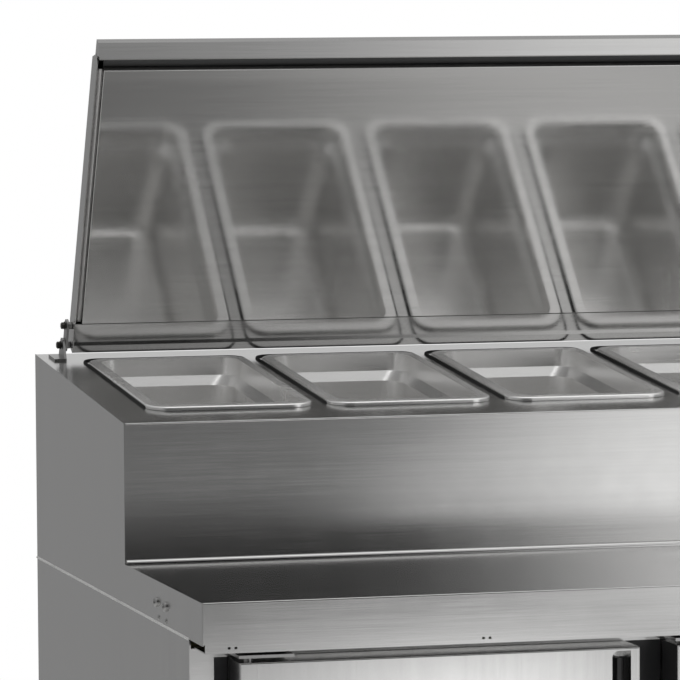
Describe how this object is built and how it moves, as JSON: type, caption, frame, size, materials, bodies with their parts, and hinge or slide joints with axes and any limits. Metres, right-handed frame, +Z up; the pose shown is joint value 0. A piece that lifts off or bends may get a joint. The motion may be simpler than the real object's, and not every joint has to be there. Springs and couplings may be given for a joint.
{
  "type": "sandwich prep table",
  "caption": "Refrigerated stainless prep counter: flat worktop, raised pan well under a hinged lid, cabinet doors below and a machine bay at one end.",
  "frame": {"origin": "on the floor, at the middle of the footprint", "axes": "+X to the right along the front, +Y from the front to the back, +Z up"},
  "size_m": [1.798, 0.8, 1.4244],
  "materials": {
    "brushed_stainless": "brushed, satin, vertical and lengthwise grain",
    "mirror_stainless": "bright annealed, nearly mirror-like",
    "polished_stainless": "polished",
    "inner_stainless": "satin",
    "galvanised_sheet": "galvanised",
    "foam": "closed-cell rigid foam",
    "hardware_steel": "zinc plated",
    "dark_bolt": "dark, worn",
    "coated_wire": "coated wire",
    "foot_steel": "satin",
    "compressor_black": "gloss paint",
    "coil_aluminium": "fins",
    "motor_black": "satin paint",
    "gasket_rubber": "soft, matte",
    "grip_plastic": "satin",
    "fan_plastic": "satin",
    "control_plastic": "satin",
    "gland_plastic": "satin",
    "button_plastic": "gloss",
    "rocker_plastic": "gloss"
  },
  "bodies": {
    "cabinet": {"side_panels": "brushed_stainless", "back_panel": "galvanised_sheet", "base_panel": "galvanised_sheet", "inner_liner": "inner_stainless", "insulation": "foam", "front_rails": "brushed_stainless", "front_posts": "brushed_stainless", "worktop": "brushed_stainless", "top_side_panels": "brushed_stainless", "riser": "brushed_stainless", "collar_top": "brushed_stainless", "collar_back": "brushed_stainless", "pan_well_liner": "inner_stainless", "divider_bars": "brushed_stainless", "hinge_brackets": "hardware_steel", "side_screws": "hardware_steel", "wire_shelves": "coated_wire", "shelf_supports": "inner_stainless", "feet": "foot_steel", "compressor": "compressor_black", "condenser_coil": "coil_aluminium", "fan_motors": "motor_black", "evaporator_coil": "coil_aluminium", "evaporation_tray": "galvanised_sheet", "bay_grille": "brushed_stainless", "control_panel": "control_plastic", "cable_gland": "gland_plastic", "door_hinge_plates": "hardware_steel"},
    "lid": {"lid_outer_shell": "brushed_stainless", "lid_inner_liner": "mirror_stainless", "lid_gasket": "gasket_rubber", "lid_arms": "hardware_steel", "lid_hinge_bolts": "dark_bolt"},
    "pan_1": {"pan_1": "polished_stainless"},
    "pan_2": {"pan_2": "polished_stainless"},
    "pan_3": {"pan_3": "polished_stainless"},
    "pan_4": {"pan_4": "polished_stainless"},
    "pan_5": {"pan_5": "polished_stainless"},
    "pan_6": {"pan_6": "polished_stainless"},
    "pan_7": {"pan_7": "polished_stainless"},
    "pan_8": {"pan_8": "polished_stainless"},
    "pan_9": {"pan_9": "polished_stainless"},
    "door_1": {"door_1_skin": "brushed_stainless", "door_1_inner_panel": "inner_stainless", "door_1_gasket": "gasket_rubber", "door_1_grip": "grip_plastic"},
    "door_2": {"door_2_skin": "brushed_stainless", "door_2_inner_panel": "inner_stainless", "door_2_gasket": "gasket_rubber", "door_2_grip": "grip_plastic"},
    "door_3": {"door_3_skin": "brushed_stainless", "door_3_inner_panel": "inner_stainless", "door_3_gasket": "gasket_rubber", "door_3_grip": "grip_plastic"},
    "condenser_rotor": {"condenser_fan": "fan_plastic"},
    "evaporator_rotor": {"evaporator_fan": "fan_plastic"},
    "button_down": {"button_down": "button_plastic"},
    "button_set": {"button_set": "button_plastic"},
    "button_up": {"button_up": "button_plastic"},
    "switch_rocker": {"power_switch": "rocker_plastic"}
  },
  "joints": [
    {"name": "lid_hinge", "type": "hinge", "parent": "cabinet", "child": "lid", "pos_m": [0, 0.363, 1.09153], "axis": [-1, 0, 0], "range_deg": [-70, 0]},
    {"name": "pan_1_lift", "type": "slide", "parent": "cabinet", "child": "pan_1", "axis": [0, -0.0872, 0.9962], "range_m": [0, 0.035]},
    {"name": "pan_2_lift", "type": "slide", "parent": "cabinet", "child": "pan_2", "axis": [0, -0.0872, 0.9962], "range_m": [0, 0.035]},
    {"name": "pan_3_lift", "type": "slide", "parent": "cabinet", "child": "pan_3", "axis": [0, -0.0872, 0.9962], "range_m": [0, 0.035]},
    {"name": "pan_4_lift", "type": "slide", "parent": "cabinet", "child": "pan_4", "axis": [0, -0.0872, 0.9962], "range_m": [0, 0.035]},
    {"name": "pan_5_lift", "type": "slide", "parent": "cabinet", "child": "pan_5", "axis": [0, -0.0872, 0.9962], "range_m": [0, 0.035]},
    {"name": "pan_6_lift", "type": "slide", "parent": "cabinet", "child": "pan_6", "axis": [0, -0.0872, 0.9962], "range_m": [0, 0.035]},
    {"name": "pan_7_lift", "type": "slide", "parent": "cabinet", "child": "pan_7", "axis": [0, -0.0872, 0.9962], "range_m": [0, 0.035]},
    {"name": "pan_8_lift", "type": "slide", "parent": "cabinet", "child": "pan_8", "axis": [0, -0.0872, 0.9962], "range_m": [0, 0.035]},
    {"name": "pan_9_lift", "type": "slide", "parent": "cabinet", "child": "pan_9", "axis": [0, -0.0872, 0.9962], "range_m": [0, 0.035]},
    {"name": "door_1_hinge", "type": "hinge", "parent": "cabinet", "child": "door_1", "pos_m": [-0.848, -0.378, 0.5], "axis": [0, 0, -1], "range_deg": [0, 95]},
    {"name": "door_2_hinge", "type": "hinge", "parent": "cabinet", "child": "door_2", "pos_m": [-0.413, -0.378, 0.5], "axis": [0, 0, -1], "range_deg": [0, 95]},
    {"name": "door_3_hinge", "type": "hinge", "parent": "cabinet", "child": "door_3", "pos_m": [0.022, -0.378, 0.5], "axis": [0, 0, -1], "range_deg": [0, 95]},
    {"name": "condenser_fan_spin", "type": "hinge", "parent": "cabinet", "child": "condenser_rotor", "pos_m": [0.6345, -0.21, 0.32], "axis": [0, 1, 0], "continuous": true},
    {"name": "evaporator_fan_spin", "type": "hinge", "parent": "cabinet", "child": "evaporator_rotor", "pos_m": [0.3175, -0.025, 0.677], "axis": [-1, 0, 0], "continuous": true},
    {"name": "button_down_press", "type": "slide", "parent": "cabinet", "child": "button_down", "axis": [0, 1, 0], "range_m": [0, 0.0012], "stiffness_N_per_m": 300, "springref_m": -0.001},
    {"name": "button_set_press", "type": "slide", "parent": "cabinet", "child": "button_set", "axis": [0, 1, 0], "range_m": [0, 0.0012], "stiffness_N_per_m": 300, "springref_m": -0.001},
    {"name": "button_up_press", "type": "slide", "parent": "cabinet", "child": "button_up", "axis": [0, 1, 0], "range_m": [0, 0.0012], "stiffness_N_per_m": 300, "springref_m": -0.001},
    {"name": "power_switch_rock", "type": "hinge", "parent": "cabinet", "child": "switch_rocker", "pos_m": [0.5965, -0.388, 0.788], "axis": [1, 0, 0], "range_deg": [-14, 0]}
  ]
}
